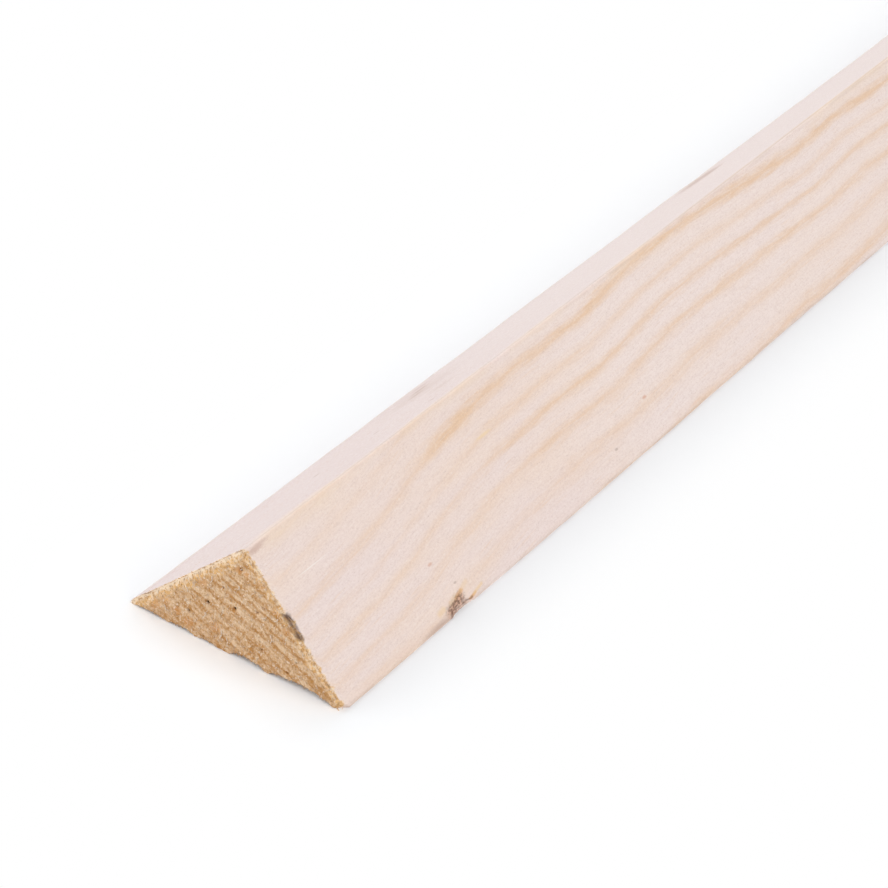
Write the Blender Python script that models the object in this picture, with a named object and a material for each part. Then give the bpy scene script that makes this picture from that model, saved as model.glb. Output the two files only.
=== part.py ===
"""Triangular chamfer strip: one length of sawn softwood with a right-angled section.

The strip lies on its wide face. Its two narrow faces meet at the ridge in a right angle,
which is the corner that goes into the angle between two boards of a concrete form, and the
wide face then leaves the chamfer on the cast edge. The whole strip is one piece of wood.

Units are metres. +X runs along the strip and +Z is up. The origin is at the middle of the
wide face, and the sawn end that shows the wear of the cut is at -X.
"""

import math

import bmesh
import bpy
from mathutils import Matrix, Vector

# Driving dimensions of the stock
LEG = 0.025  # each of the two faces that meet at the ridge, measured to sharp corners
LENGTH = 1.0
RIDGE_RADIUS = 0.0004  # the ridge is eased by planing and handling
TOE_BLUNT = 0.00044  # height of the blunt left along each thin edge

# The cross-cut broke out under the wide face. Each scoop is given by its place across the
# face, from its middle, its half width and its depth.
BREAK_OUTS = (
    (0.0140, 0.0027, 0.00036),
    (0.0088, 0.0020, 0.00048),
    (0.0045, 0.0015, 0.00022),
    (-0.0020, 0.0028, 0.00085),
    (-0.0102, 0.0048, 0.00098),
)
BREAK_OUT_REACH = 0.0075  # how far the scoops run in from the sawn end

# A pitch streak crumbled out of the corner between the sawn end and the -Y leg face.
END_CHIP_START = 0.0094  # from the sharp ridge, down the leg face
END_CHIP_RUN = 0.0046
END_CHIP_DEPTH = 0.00045  # into the leg face
END_CHIP_REACH = 0.0009  # along the strip

# The corner of the -Y thin edge at the sawn end is bruised off by this much.
BRUISE = 0.0014

# Bark and knot edges fell out of the thin edges. Each chip is given by the side it is on,
# its place from the sawn end, its run along the edge and its depth into the edge.
TOE_CHIPS = (
    ("right", -1, 0.0281, 0.0050, 0.0005),
    ("left", 1, 0.1500, 0.0080, 0.0003),
)
TOE_CHIP_RISE = 0.0016  # how far up the leg face a chip reaches

ARC_STEPS = 6
SCOOP_SEGMENTS = 24
SCOOP_RINGS = 12

BASE = LEG * math.sqrt(2.0)  # the wide face, between sharp corners
HEIGHT = BASE / 2.0
SAWN_END = -LENGTH / 2.0

WOOD_COLOUR = (0.855, 0.723, 0.631, 1.0)
WOOD_ROUGHNESS = 0.72


def clear_scene():
    """Remove what a new Blender file starts with."""
    for obj in list(bpy.data.objects):
        bpy.data.objects.remove(obj, do_unlink=True)


def make_collection(name):
    collection = bpy.data.collections.new(name)
    bpy.context.scene.collection.children.link(collection)
    return collection


def softwood():
    """Pale spruce, sawn and lightly planed."""
    material = bpy.data.materials.new("softwood")
    material.use_nodes = True
    shader = material.node_tree.nodes["Principled BSDF"]
    shader.inputs["Base Color"].default_value = WOOD_COLOUR
    shader.inputs["Roughness"].default_value = WOOD_ROUGHNESS
    shader.inputs["Metallic"].default_value = 0.0
    material.diffuse_color = WOOD_COLOUR
    return material


def ridge_arc():
    """The eased ridge, as points from the +Y leg face over to the -Y one."""
    centre_height = HEIGHT - RIDGE_RADIUS * math.sqrt(2.0)
    points = []
    for step in range(ARC_STEPS + 1):
        angle = math.radians(45.0 + 90.0 * step / ARC_STEPS)
        across = RIDGE_RADIUS * math.cos(angle)
        points.append((across, centre_height + RIDGE_RADIUS * math.sin(angle)))
    return points


def section_outline():
    """The section seen along the strip: two blunt toes and the eased ridge between them."""
    toe = BASE / 2.0 - TOE_BLUNT
    right_toe = [(-toe, TOE_BLUNT), (-toe, 0.0)]
    left_toe = [(toe, 0.0), (toe, TOE_BLUNT)]
    return left_toe + ridge_arc() + right_toe


def stock_curve():
    """The section as a flat filled outline, extruded to the strip's length."""
    curve = bpy.data.curves.new("stock_outline", "CURVE")
    curve.dimensions = "2D"
    curve.fill_mode = "BOTH"
    curve.extrude = LENGTH / 2.0
    outline = section_outline()
    spline = curve.splines.new("POLY")
    spline.points.add(len(outline) - 1)
    for point, (across, up) in zip(spline.points, outline):
        point.co = (across, up, 0.0, 1.0)
    spline.use_cyclic_u = True
    return curve


def mesh_from_curve(curve, name, matrix, collection):
    """Make the curve a mesh object of that name, with the caps welded to the sides."""
    guide = bpy.data.objects.new(name + "_guide", curve)
    guide.matrix_world = matrix
    collection.objects.link(guide)
    bpy.context.view_layer.update()
    evaluated = guide.evaluated_get(bpy.context.evaluated_depsgraph_get())
    mesh = bpy.data.meshes.new_from_object(evaluated)
    solid = bmesh.new()
    solid.from_mesh(mesh)
    bmesh.ops.remove_doubles(solid, verts=solid.verts, dist=1e-6)
    bmesh.ops.recalc_face_normals(solid, faces=solid.faces)
    solid.to_mesh(mesh)
    solid.free()
    obj = bpy.data.objects.new(name, mesh)
    obj.matrix_world = guide.matrix_world.copy()
    collection.objects.link(obj)
    bpy.data.objects.remove(guide)
    bpy.data.curves.remove(curve)
    return obj


def make_cutter(solid, name, collection):
    """Store a bmesh as a cutter that no render shows."""
    mesh = bpy.data.meshes.new(name)
    bmesh.ops.recalc_face_normals(solid, faces=solid.faces)
    solid.to_mesh(mesh)
    solid.free()
    cutter = bpy.data.objects.new(name, mesh)
    cutter.hide_render = True
    cutter.display_type = "WIRE"
    collection.objects.link(cutter)
    return cutter


def scoop(name, centre, half_sizes, collection, roll=0.0):
    """An ellipsoid that scoops out a hollow: half_sizes run along X, Y and Z before roll.

    roll turns it about the strip's length, so that it can lie along a leg face.
    """
    solid = bmesh.new()
    bmesh.ops.create_uvsphere(
        solid, u_segments=SCOOP_SEGMENTS, v_segments=SCOOP_RINGS, radius=1.0
    )
    stretch = Matrix.Diagonal((*half_sizes, 1.0))
    place = Matrix.Translation(centre) @ Matrix.Rotation(roll, 4, "X") @ stretch
    bmesh.ops.transform(solid, matrix=place, verts=solid.verts)
    return make_cutter(solid, name, collection)


def break_out_cutters(collection):
    """The scoops that the saw left where it came out under the wide face."""
    cutters = []
    for number, (across, half_width, depth) in enumerate(BREAK_OUTS, start=1):
        centre = Vector((SAWN_END, across, 0.0))
        half_sizes = (BREAK_OUT_REACH, half_width, depth)
        cutters.append(scoop(f"break_out_{number}", centre, half_sizes, collection))
    return cutters


def end_chip_cutter(collection):
    """The crumbled pitch streak, lying down the -Y leg face at the sawn end."""
    middle = END_CHIP_START + END_CHIP_RUN / 2.0
    down_leg = Vector((0.0, -1.0, -1.0)).normalized()
    centre = Vector((SAWN_END, 0.0, HEIGHT)) + down_leg * middle
    half_sizes = (END_CHIP_REACH, END_CHIP_RUN / 2.0, END_CHIP_DEPTH)
    return scoop("end_chip", centre, half_sizes, collection, roll=math.radians(45.0))


def toe_chip_cutters(collection):
    """The chips in the thin edges."""
    cutters = []
    for name, side, from_end, run, depth in TOE_CHIPS:
        toe = Vector((SAWN_END + from_end, side * (BASE / 2.0 - TOE_BLUNT), 0.0))
        half_sizes = (run / 2.0, depth, TOE_CHIP_RISE)
        roll = math.radians(side * 45.0)
        cutters.append(scoop(f"{name}_toe_chip", toe, half_sizes, collection, roll))
    return cutters


def bruise_cutter(collection):
    """A block whose slanting face takes off the corner of the -Y toe at the sawn end."""
    outward = Vector((-1.0, -1.0, -0.35)).normalized()
    corner = Vector((SAWN_END, TOE_BLUNT - BASE / 2.0, 0.0))
    depth = BRUISE / math.sqrt(2.0)
    side = 8.0 * BRUISE
    solid = bmesh.new()
    bmesh.ops.create_cube(solid, size=side)
    turn = outward.to_track_quat("Z", "Y").to_matrix().to_4x4()
    centre = corner + outward * (side / 2.0 - depth)
    place = Matrix.Translation(centre) @ turn
    bmesh.ops.transform(solid, matrix=place, verts=solid.verts)
    return make_cutter(solid, "bruise", collection)


def cut(obj, cutter):
    """Take the cutter away from the object."""
    boolean = obj.modifiers.new(cutter.name, "BOOLEAN")
    boolean.operation = "DIFFERENCE"
    boolean.solver = "EXACT"
    boolean.object = cutter


def build():
    clear_scene()
    strip_parts = make_collection("triangular_chamfer_strip")
    cutters = make_collection("cutters")

    # The outline is drawn in X and Y and extruded along Z, so it is turned to run along +X.
    along_x = Matrix(((0, 0, 1, 0), (1, 0, 0, 0), (0, 1, 0, 0), (0, 0, 0, 1)))
    strip = mesh_from_curve(stock_curve(), "chamfer_strip", along_x, strip_parts)
    strip.data.materials.append(softwood())

    for cutter in (
        *break_out_cutters(cutters),
        end_chip_cutter(cutters),
        *toe_chip_cutters(cutters),
        bruise_cutter(cutters),
    ):
        cut(strip, cutter)


build()
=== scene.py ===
# %% [markdown]
# # A triangular chamfer strip of pale softwood
#
# A chamfer strip is one length of sawn spruce with a right-angled triangular section. It is
# nailed into the corner of a concrete form, and the cast edge comes out bevelled. This lesson
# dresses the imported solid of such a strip: two lightly planed faces that meet at a ridge, a
# wide face that lies on the floor, and a rough sawn end that shows the growth rings.
#
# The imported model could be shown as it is, but its faces are dead flat. Here it is kept only as
# the frame: its box gives every size, and one finer mesh takes its place.

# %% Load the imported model
import math
import random

import bpy
from mathutils import Matrix, Vector, noise
from mathutils.geometry import delaunay_2d_cdt


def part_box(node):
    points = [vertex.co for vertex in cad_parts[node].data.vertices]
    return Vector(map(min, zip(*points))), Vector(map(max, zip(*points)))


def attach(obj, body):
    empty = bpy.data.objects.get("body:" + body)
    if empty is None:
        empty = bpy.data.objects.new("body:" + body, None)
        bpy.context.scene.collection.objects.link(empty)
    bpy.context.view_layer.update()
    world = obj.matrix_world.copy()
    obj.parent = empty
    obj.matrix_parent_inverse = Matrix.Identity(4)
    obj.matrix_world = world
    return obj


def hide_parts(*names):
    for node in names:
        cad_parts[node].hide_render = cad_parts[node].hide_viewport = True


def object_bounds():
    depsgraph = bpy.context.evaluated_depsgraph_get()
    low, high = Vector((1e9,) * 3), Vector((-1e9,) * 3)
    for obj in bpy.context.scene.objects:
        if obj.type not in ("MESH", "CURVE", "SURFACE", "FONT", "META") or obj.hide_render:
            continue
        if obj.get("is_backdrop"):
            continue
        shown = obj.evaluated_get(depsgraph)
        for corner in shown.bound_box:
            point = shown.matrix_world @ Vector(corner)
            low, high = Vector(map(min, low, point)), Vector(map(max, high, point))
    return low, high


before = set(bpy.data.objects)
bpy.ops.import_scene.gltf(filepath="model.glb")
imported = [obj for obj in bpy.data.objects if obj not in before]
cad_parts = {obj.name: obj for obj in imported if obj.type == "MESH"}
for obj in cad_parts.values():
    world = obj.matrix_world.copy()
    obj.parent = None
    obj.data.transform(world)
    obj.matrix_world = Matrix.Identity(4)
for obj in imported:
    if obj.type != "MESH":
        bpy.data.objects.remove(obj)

CAD_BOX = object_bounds()
print("pieces in the frame:", sorted(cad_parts))

# %% [markdown]
# ## Sizes
#
# Wood detail is small, so the lesson counts in millimetres and turns them into metres where a
# mesh or a lamp is made. A place on the strip is given as `along`, from the sawn end, `across`,
# from the middle of the wide face, and `up`, from the floor. Reading the large sizes from the
# frame, and not typing them again, keeps the finish on the solid when its size changes.

# %% Read the sizes from the frame
MM = 0.001
LOW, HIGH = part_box("chamfer_strip")
LENGTH = (HIGH.x - LOW.x) / MM
TOE_BLUNT = 0.44
HALF_WIDTH = (HIGH.y - LOW.y) / 2.0 / MM
SHARP = HALF_WIDTH + TOE_BLUNT  # the height of the sharp ridge, and half of the sharp wide face
RIDGE_RADIUS = 0.4
LEG = SHARP * math.sqrt(2.0)
print(f"strip {LENGTH:.0f} mm long, legs {LEG:.2f} mm, wide face {2.0 * HALF_WIDTH:.2f} mm")


def in_world(along, across, up):
    """A place on the strip, in metres, in the frame of the solid."""
    return Vector((LOW.x + along * MM, across * MM, LOW.z + up * MM))


# %% [markdown]
# ## Shader maths in Python
#
# A finish is a tree of nodes, and a tree laid by hand in the editor is hard to read. The small
# class `Signal` stands for one output socket, and Python's operators on it add the Math nodes,
# so a formula for the wood reads as a formula, with plain numbers on either side of a sign.

# %% Wrap a socket
class Signal:
    """A value that varies over a surface."""

    def __init__(self, tree, socket):
        self.tree = tree
        self.socket = socket

    def math(self, operation, *values):
        sockets = dict(enumerate(values))
        return self.tree.add("ShaderNodeMath", {"operation": operation}, sockets)["Value"]

    def __add__(self, other):
        return self.math("ADD", self, other)

    def __sub__(self, other):
        return self.math("SUBTRACT", self, other)

    def __rsub__(self, other):
        return self.math("SUBTRACT", other, self)

    def __mul__(self, other):
        return self.math("MULTIPLY", self, other)

    def __truediv__(self, other):
        return self.math("DIVIDE", self, other)

    def __rtruediv__(self, other):
        return self.math("DIVIDE", other, self)

    def __pow__(self, other):
        return self.math("POWER", self, other)

    def __rpow__(self, other):
        return self.math("POWER", other, self)

    __radd__ = __add__
    __rmul__ = __mul__


print("a signal takes + - * / ** with a signal or a number on either side")

# %% [markdown]
# ## Trees of nodes
#
# A material keeps its nodes in a tree, and so does the world. `Tree.add` is the one place where
# a node is made: its settings come first, because they decide which sockets it has, and then
# the values or links of its sockets. It gives the outputs back by name, as signals. Blender's
# own calls would do the same work, but in five lines for each node.

# %% Add nodes to a tree
class Tree:
    """The nodes of one material or of the world."""

    def __init__(self, owner):
        owner.use_nodes = True
        self.nodes = owner.node_tree.nodes
        self.links = owner.node_tree.links
        self.nodes.clear()

    def add(self, kind, settings=None, sockets=None):
        """Add a node and return its outputs by name."""
        node = self.nodes.new(kind)
        for name, value in (settings or {}).items():
            if name == "stops":
                self.set_stops(node.color_ramp, value)
            else:
                setattr(node, name, value)
        for key, value in (sockets or {}).items():
            self.feed(self.find(node.inputs, key), value)
        return {output.identifier: Signal(self, output) for output in node.outputs}

    def find(self, sockets, key):
        if isinstance(key, int):
            return sockets[key]
        return next(socket for socket in sockets if key in (socket.identifier, socket.name))

    def feed(self, socket, value):
        if isinstance(value, Signal):
            self.links.new(value.socket, socket)
        else:
            socket.default_value = value

    def set_stops(self, ramp, stops):
        """Give the ramp these (place, grey) stops."""
        while len(ramp.elements) < len(stops):
            ramp.elements.new(1.0)
        for element, (place, grey) in zip(ramp.elements, stops):
            element.position = place
            element.color = (grey, grey, grey, 1.0)


print("a tree adds nodes, feeds their sockets and sets the stops of ramps")

# %% [markdown]
# ## Formulas that suit the mesh and the finish
#
# The growth rings shape the sawn end and colour every face, so one formula has to serve both
# the mesh, as plain numbers, and the finish, as signals. These helpers take either.

# %% Helpers for numbers and signals
def held(value):
    """The value kept from 0 to 1."""
    if isinstance(value, Signal):
        return value.math("MINIMUM", value.math("MAXIMUM", value, 0.0), 1.0)
    return min(max(value, 0.0), 1.0)


def ease(value):
    """0 below 0, 1 above 1 and a soft rise between them."""
    share = held(value)
    return share * share * (3.0 - 2.0 * share)


def linear(level):
    """One display level from 0 to 255 as scene light."""
    share = level / 255.0
    return share / 12.92 if share <= 0.04045 else ((share + 0.055) / 1.055) ** 2.4


def paint(red, green, blue):
    """A colour as it shows on screen, made ready for a shader."""
    return (linear(red), linear(green), linear(blue), 1.0)


print(f"a display level of 128 is {linear(128):.3f} as scene light")

# %% [markdown]
# ## The camera
#
# The view looks down on the sawn end from its left, with the strip running away to the upper
# right. A long lens keeps the edges almost parallel. The camera's place is given from the foot
# of the sawn end, at its middle, and its three turns are applied one after another: round the
# upright, down towards the floor, and about its own line of sight.

# %% Place the camera
CAMERA_FROM_END = (-259.4, -173.2, 253.9)
CAMERA_TURN = math.radians(29.42)
CAMERA_DIP = math.radians(34.81)
CAMERA_ROLL = math.radians(7.27)
CAMERA_LENS = 124.9
CAMERA_SENSOR = 36.0
CAMERA_SEES = (0.01, 50.0)  # nearest and furthest distance, in metres


def add_object(name, data):
    """A new object in the scene that holds this camera, lamp or mesh."""
    made = bpy.data.objects.new(name, data)
    bpy.context.scene.collection.objects.link(made)
    return made


def add_camera():
    data = bpy.data.cameras.new("camera")
    data.lens = CAMERA_LENS
    data.sensor_width = CAMERA_SENSOR
    data.clip_start, data.clip_end = CAMERA_SEES
    camera = add_object("camera", data)
    level = Vector((math.cos(CAMERA_TURN), math.sin(CAMERA_TURN), 0.0))
    side = Vector((math.sin(CAMERA_TURN), -math.cos(CAMERA_TURN), 0.0))
    sight = level * math.cos(CAMERA_DIP) - Vector((0.0, 0.0, math.sin(CAMERA_DIP)))
    rise = side.cross(sight)
    right = side * math.cos(CAMERA_ROLL) + rise * math.sin(CAMERA_ROLL)
    top = rise * math.cos(CAMERA_ROLL) - side * math.sin(CAMERA_ROLL)
    axes = Matrix((right, top, -sight)).transposed()
    camera.matrix_world = Matrix.Translation(in_world(*CAMERA_FROM_END)) @ axes.to_4x4()
    bpy.context.scene.camera = camera
    return camera


print("camera at", [round(value, 3) for value in add_camera().matrix_world.translation])

# %% [markdown]
# ## Light
#
# The photo is a studio shot on white. Its light comes from all round, from large soft lamps that
# stand fairly low: the strip only shades a narrow seam of floor along its right edge and in
# front of its end, and none on its left. Six broad lamps in a ring, somewhat stronger on the
# left, give that seam. One picture of a studio wrapped round the scene could light it too, but
# lamps can be moved one by one. The world glows faintly, and only the camera sees it as white.

# %% Light the scene
AMBIENT = 0.1
LAMPS = (
    ("left back", 45.0, 25.0, 22.0),
    ("left", 90.0, 38.0, 25.0),
    ("left front", 135.0, 27.0, 33.0),
    ("right front", 225.0, 40.0, 21.0),
    ("right", 270.0, 38.0, 29.0),
    ("right back", 315.0, 35.0, 10.0),
)  # name, compass angle from the strip's far end, height angle and power
LAMPS_ROUND = 60.0  # the place along the strip that the lamps stand round
LAMP_DISTANCE = 2.5
LAMP_SIDE = 2.2


def seen_directly(tree):
    """1 for what the camera sees, also by way of a gloss or through glass."""
    path = tree.add("ShaderNodeLightPath")
    return held(path["Is Camera Ray"] + path["Is Glossy Ray"] + path["Is Transmission Ray"])


def light_world():
    world = bpy.data.worlds.new("studio")
    bpy.context.scene.world = world
    tree = Tree(world)
    strength = AMBIENT + seen_directly(tree) * (1.0 - AMBIENT)
    glow = tree.add("ShaderNodeBackground", sockets={"Strength": strength})
    tree.add("ShaderNodeOutputWorld", sockets={"Surface": glow["Background"]})


def add_lamp(name, compass, height, power):
    data = bpy.data.lights.new(name, "AREA")
    data.size = LAMP_SIDE
    data.energy = power
    lamp = add_object(name, data)
    turn = Matrix.Rotation(math.radians(compass), 3, "Z")
    towards = turn @ Vector((math.cos(math.radians(height)), 0.0, math.sin(math.radians(height))))
    lamp.location = in_world(LAMPS_ROUND, 0.0, 0.0) + towards * LAMP_DISTANCE
    lamp.rotation_euler = towards.to_track_quat("Z", "Y").to_euler()


bpy.context.scene.view_settings.view_transform = "Standard"
light_world()
for lamp in LAMPS:
    add_lamp(*lamp)
print("lamps:", [lamp[0] for lamp in LAMPS])

# %% [markdown]
# ## Floor
#
# The strip lies on plain white. A white floor in this light would throw too much light up at
# the wood, so the light falls on a pale grey, and only the camera sees a nearly white floor,
# by way of Light Path. That one keeps the strip's shadow at its foot and turns to plain white
# within a finger's breadth of it. A floor of light alone would be white too, but the strip would
# float, because nothing would show its shadow.

# %% Lay the floor
SEEN_FLOOR = (0.965, 0.98, 1.0, 1.0)  # cool enough to even out the warm light off the wood
FLOOR_COLOUR = (0.8, 0.8, 0.8, 1.0)
FLOOR_HALF_SIDE = 8.0
WHITE_BY = 0.016  # metres from the strip's foot at which the seen floor is plain white


def mix_shaders(tree, share, first, second):
    sockets = {0: share, 1: first, 2: second}
    return tree.add("ShaderNodeMixShader", sockets=sockets)["Shader"]


def past(value, half):
    """How far the value lies outside the range from -half to half."""
    return value.math("MAXIMUM", value.math("ABSOLUTE", value) - half, 0.0)


def away_from_strip(tree):
    """How many metres a place on the floor lies from the strip's foot."""
    position = tree.add("ShaderNodeNewGeometry")["Position"]
    parts = tree.add("ShaderNodeSeparateXYZ", sockets={"Vector": position})
    past_end = past(parts["X"], 0.5 * LENGTH * MM)
    past_side = past(parts["Y"], HALF_WIDTH * MM)
    return (past_end * past_end + past_side * past_side) ** 0.5


def add_floor():
    corners = [(-1, -1), (1, -1), (1, 1), (-1, 1)]
    mesh = bpy.data.meshes.new("floor")
    places = [(FLOOR_HALF_SIDE * x, FLOOR_HALF_SIDE * y, 0.0) for x, y in corners]
    mesh.from_pydata(places, [], [(0, 1, 2, 3)])
    floor = add_object("floor", mesh)
    material = bpy.data.materials.new("pale_floor")
    tree = Tree(material)
    plain = tree.add("ShaderNodeBsdfDiffuse", sockets={"Color": FLOOR_COLOUR})
    near = tree.add("ShaderNodeBsdfDiffuse", sockets={"Color": SEEN_FLOOR})
    white = tree.add("ShaderNodeEmission", sockets={"Strength": 1.0})
    far = ease(away_from_strip(tree) / WHITE_BY)
    shown = mix_shaders(tree, far, near["BSDF"], white["Emission"])
    floor_look = mix_shaders(tree, seen_directly(tree), plain["BSDF"], shown)
    tree.add("ShaderNodeOutputMaterial", sockets={"Surface": floor_look})
    mesh.materials.append(material)
    floor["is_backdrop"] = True


add_floor()
print(f"floor {2.0 * FLOOR_HALF_SIDE:.0f} m square, plain white from {WHITE_BY / MM:.0f} mm off")

# %% [markdown]
# ## Growth rings
#
# The tree grew one ring a year round its pith, so the rings are cylinders. The pith lies deep
# below the strip and to its left, about 200 mm away: the rings cross the sawn end as slanting
# stripes, run almost square into the left leg face, and meet the right one at a flat angle,
# which draws them out into broad bands. The pith also rises a little over the first stretch,
# and that makes the bands climb towards the ridge.
#
# A stripe picture laid on each face would not meet at the edges. A ring number worked out from
# the place in space does, on every face and on the end alike.

# %% Number the growth rings
PITH_ACROSS = 65.0
PITH_UP = -181.0
RINGS = (
    (190.9, -4), (192.7, -3), (194.9, -2), (197.0, -1), (198.45, 0), (200.8, 1),
    (202.8, 2), (204.4, 3), (205.75, 4), (207.5, 5), (209.75, 6), (213.8, 8),
)  # distance from the pith and number of each ring
CLIMB = (
    (0, -2.5), (1.5, -3.15), (9, -2.75), (17, -2.4), (25, -1.8), (33, -1.0), (41, -0.45),
    (50, 0.0), (62, 0.25), (78, 0.2), (96, 0.85), (112, 0.92), (128, 0.75), (146, 0.45),
    (160, 0.85), (185, 0.4), (260, 1.6), (390, 0.3), (560, 2.4), (740, 0.6), (1000, 2.2),
)  # along the strip and how far the rings have risen
CLIMB_GAIN = 0.045  # how much more the outer rings rise, for each millimetre of radius
SPREAD = 0.123  # how much closer the rings lie past SPREAD_FROM and SPREAD_RUN
SPREAD_FROM = 112.0
SPREAD_RUN = 35.0
MIDDLE_RADIUS = 204.7


def read_off(value, line):
    """The height, at this value, of the bent line through the (place, height) pairs."""
    total = line[0][1]
    for (start, low), (end, high) in zip(line, line[1:]):
        total = total + held((value - start) / (end - start)) * (high - low)
    return total


def ring_radius(along, across, up):
    """The distance from the pith, less the rise of the rings: constant along a fibre."""
    sideways = across - PITH_ACROSS
    upwards = up - PITH_UP
    radius = (sideways * sideways + upwards * upwards) ** 0.5
    outer = radius - MIDDLE_RADIUS
    spread = held((along - SPREAD_FROM) / SPREAD_RUN) * SPREAD
    climb = read_off(along, CLIMB)
    return radius - climb * (outer * CLIMB_GAIN + 1.0) + outer * spread


def ring_number(along, across, up):
    """How many rings lie inside this place. A whole number falls on the dark late wood."""
    return read_off(ring_radius(along, across, up), RINGS)


print(f"rings across the sawn end: {ring_number(0, 0, SHARP) - ring_number(0, SHARP, 0):.1f}")

# %% [markdown]
# ## The outline of the section
#
# Every row of the mesh is the same outline: up the left blunt edge, up the left leg, over the
# eased ridge, down the right leg and its blunt edge, and back along the wide face. A Bevel on a
# plain prism would give the same section, but here the rows need more points near the sawn end
# than further on, and each point has to know how far round the outline it lies, so that rows
# with different numbers of points can be joined.

# %% Draw the outline
END_PITCH = 0.17  # between the points round the sawn end
LEG_RUN = HALF_WIDTH * math.sqrt(2.0) - RIDGE_RADIUS
ARC_RUN = RIDGE_RADIUS * math.pi / 2.0
PERIMETER = 2.0 * (TOE_BLUNT + LEG_RUN + HALF_WIDTH) + ARC_RUN
CROWD = 0.75  # how strongly the points of coarse rows draw towards the edges


def straight(start, end, steps, crowd):
    """Points from start up to, but without, end."""
    for step in range(steps):
        share = step / steps
        share -= crowd * math.sin(2.0 * math.pi * share) / (2.0 * math.pi)
        yield Vector(start).lerp(Vector(end), share)


def ridge_points(steps):
    """The eased ridge from the left leg to the right one."""
    centre = Vector((0.0, SHARP - RIDGE_RADIUS * math.sqrt(2.0)))
    for step in range(steps):
        angle = math.radians(45.0 + 90.0 * step / steps)
        yield centre + RIDGE_RADIUS * Vector((math.cos(angle), math.sin(angle)))


def outline(pitch, crowd):
    """(how far round, across, up) for each point, about one pitch apart."""
    touch = RIDGE_RADIUS / math.sqrt(2.0)
    toe_left = (HALF_WIDTH, 0.0)
    top_left = (HALF_WIDTH, TOE_BLUNT)
    arc_left = (touch, SHARP - touch)
    arc_right = (-touch, SHARP - touch)
    top_right = (-HALF_WIDTH, TOE_BLUNT)
    toe_right = (-HALF_WIDTH, 0.0)
    blunt_steps = max(1, round(TOE_BLUNT / pitch))
    leg_steps = round(LEG_RUN / pitch)
    arc_steps = max(3, round(ARC_RUN / pitch))
    stretches = (
        (TOE_BLUNT, straight(toe_left, top_left, blunt_steps, 0.0)),
        (LEG_RUN, straight(top_left, arc_left, leg_steps, crowd)),
        (ARC_RUN, ridge_points(arc_steps)),
        (LEG_RUN, straight(arc_right, top_right, leg_steps, crowd)),
        (TOE_BLUNT, straight(top_right, toe_right, blunt_steps, 0.0)),
        (2.0 * HALF_WIDTH, straight(toe_right, toe_left, round(2.0 * HALF_WIDTH / pitch), crowd)),
    )
    points = []
    begun = 0.0
    for run, stretch in stretches:
        first = None
        for point in stretch:
            first = first or point.copy()
            points.append((begun + (point - first).length, point.x, point.y))
        begun += run
    return points


print(f"{len(outline(END_PITCH, 0.0))} points round the sawn end, {PERIMETER:.1f} mm")

# %% [markdown]
# ## Wear of the sawn end
#
# A coarse saw tears the soft early wood, leaves pits where fibres were pulled out, and breaks
# pieces out under the wide face where the teeth leave. The lower edge of the end is therefore
# scalloped, the right toe is bruised round, and one crumbled pitch streak lies on the right
# edge. The scallops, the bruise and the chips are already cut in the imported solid. Here each is
# a formula for a depth, with some noise in it, because the fibres of the real one are ragged
# and a Boolean would leave them smooth.

# %% Measure the break-outs and the chips
BREAK_OUTS = (
    (14.0, 2.7, 0.36),
    (8.8, 2.0, 0.48),
    (4.5, 1.5, 0.22),
    (-2.0, 2.8, 0.85),
    (-10.2, 4.8, 0.98),
)  # place across, half width and depth
BREAK_OUT_REACH = 7.5
BREAK_OUT_FADE = 2.6
BRUISE_DEPTH = 1.0
BRUISE_OUTWARD = Vector((-1.0, -1.0, -0.35)).normalized()
PITCH_STREAK = (11.9, 2.1, 0.4, 0.6)  # down the right leg, half run, depth, reach along
KNOT = (28.1, 2.5, 0.5, 1.7)  # along, half run, depth into the leg, reach up the leg
LEFT_CHIP = (150.0, 4.0, 0.3, 1.2)


def rough(place, size, seed=0.0):
    """Smooth noise from -1 to 1 whose lumps are about size across."""
    return noise.noise(Vector(place) / size + Vector((seed, 3.1 * seed, -1.7 * seed)))


def dome(*shares):
    """The height of a unit dome at these shares of its half sizes."""
    inside = 1.0 - sum(share * share for share in shares)
    return math.sqrt(inside) if inside > 0.0 else 0.0


def break_out(along, across):
    """How far the wide face is broken up from the floor here."""
    ragged = 0.22 * rough((along, across, 0.0), 1.1, 4.0)
    rise = 0.0
    for middle, half_width, depth in BREAK_OUTS:
        share = (across - middle) / half_width + ragged
        rise = max(rise, depth * dome(share, along / BREAK_OUT_REACH))
    return rise * (1.0 + 0.25 * rough((along, across, 0.0), 0.6, 9.0))


def toe_chip(chip, along, up_leg):
    """How deep a chip in a thin edge is here, into the leg face."""
    middle, half_run, depth, reach = chip
    share = (along - middle) / half_run + 0.25 * rough((along, up_leg, 0.0), 0.8, 6.0)
    return depth * dome(share, up_leg / reach) * (1.0 + 0.5 * rough((along, up_leg, 1.0), 0.5))


print(f"deepest break-out {max(break_out(0.0, a / 10.0) for a in range(-172, 173)):.2f} mm")

# %% [markdown]
# ## Pressing the wear in
#
# A point of the mesh near a hollow moves along with it: up from the floor in a break-out, back
# into the leg in a chip, and inwards from the bruised corner. In a break-out the move fades out
# higher up, so that the mesh isn't folded there. No point goes below the floor.

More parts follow.
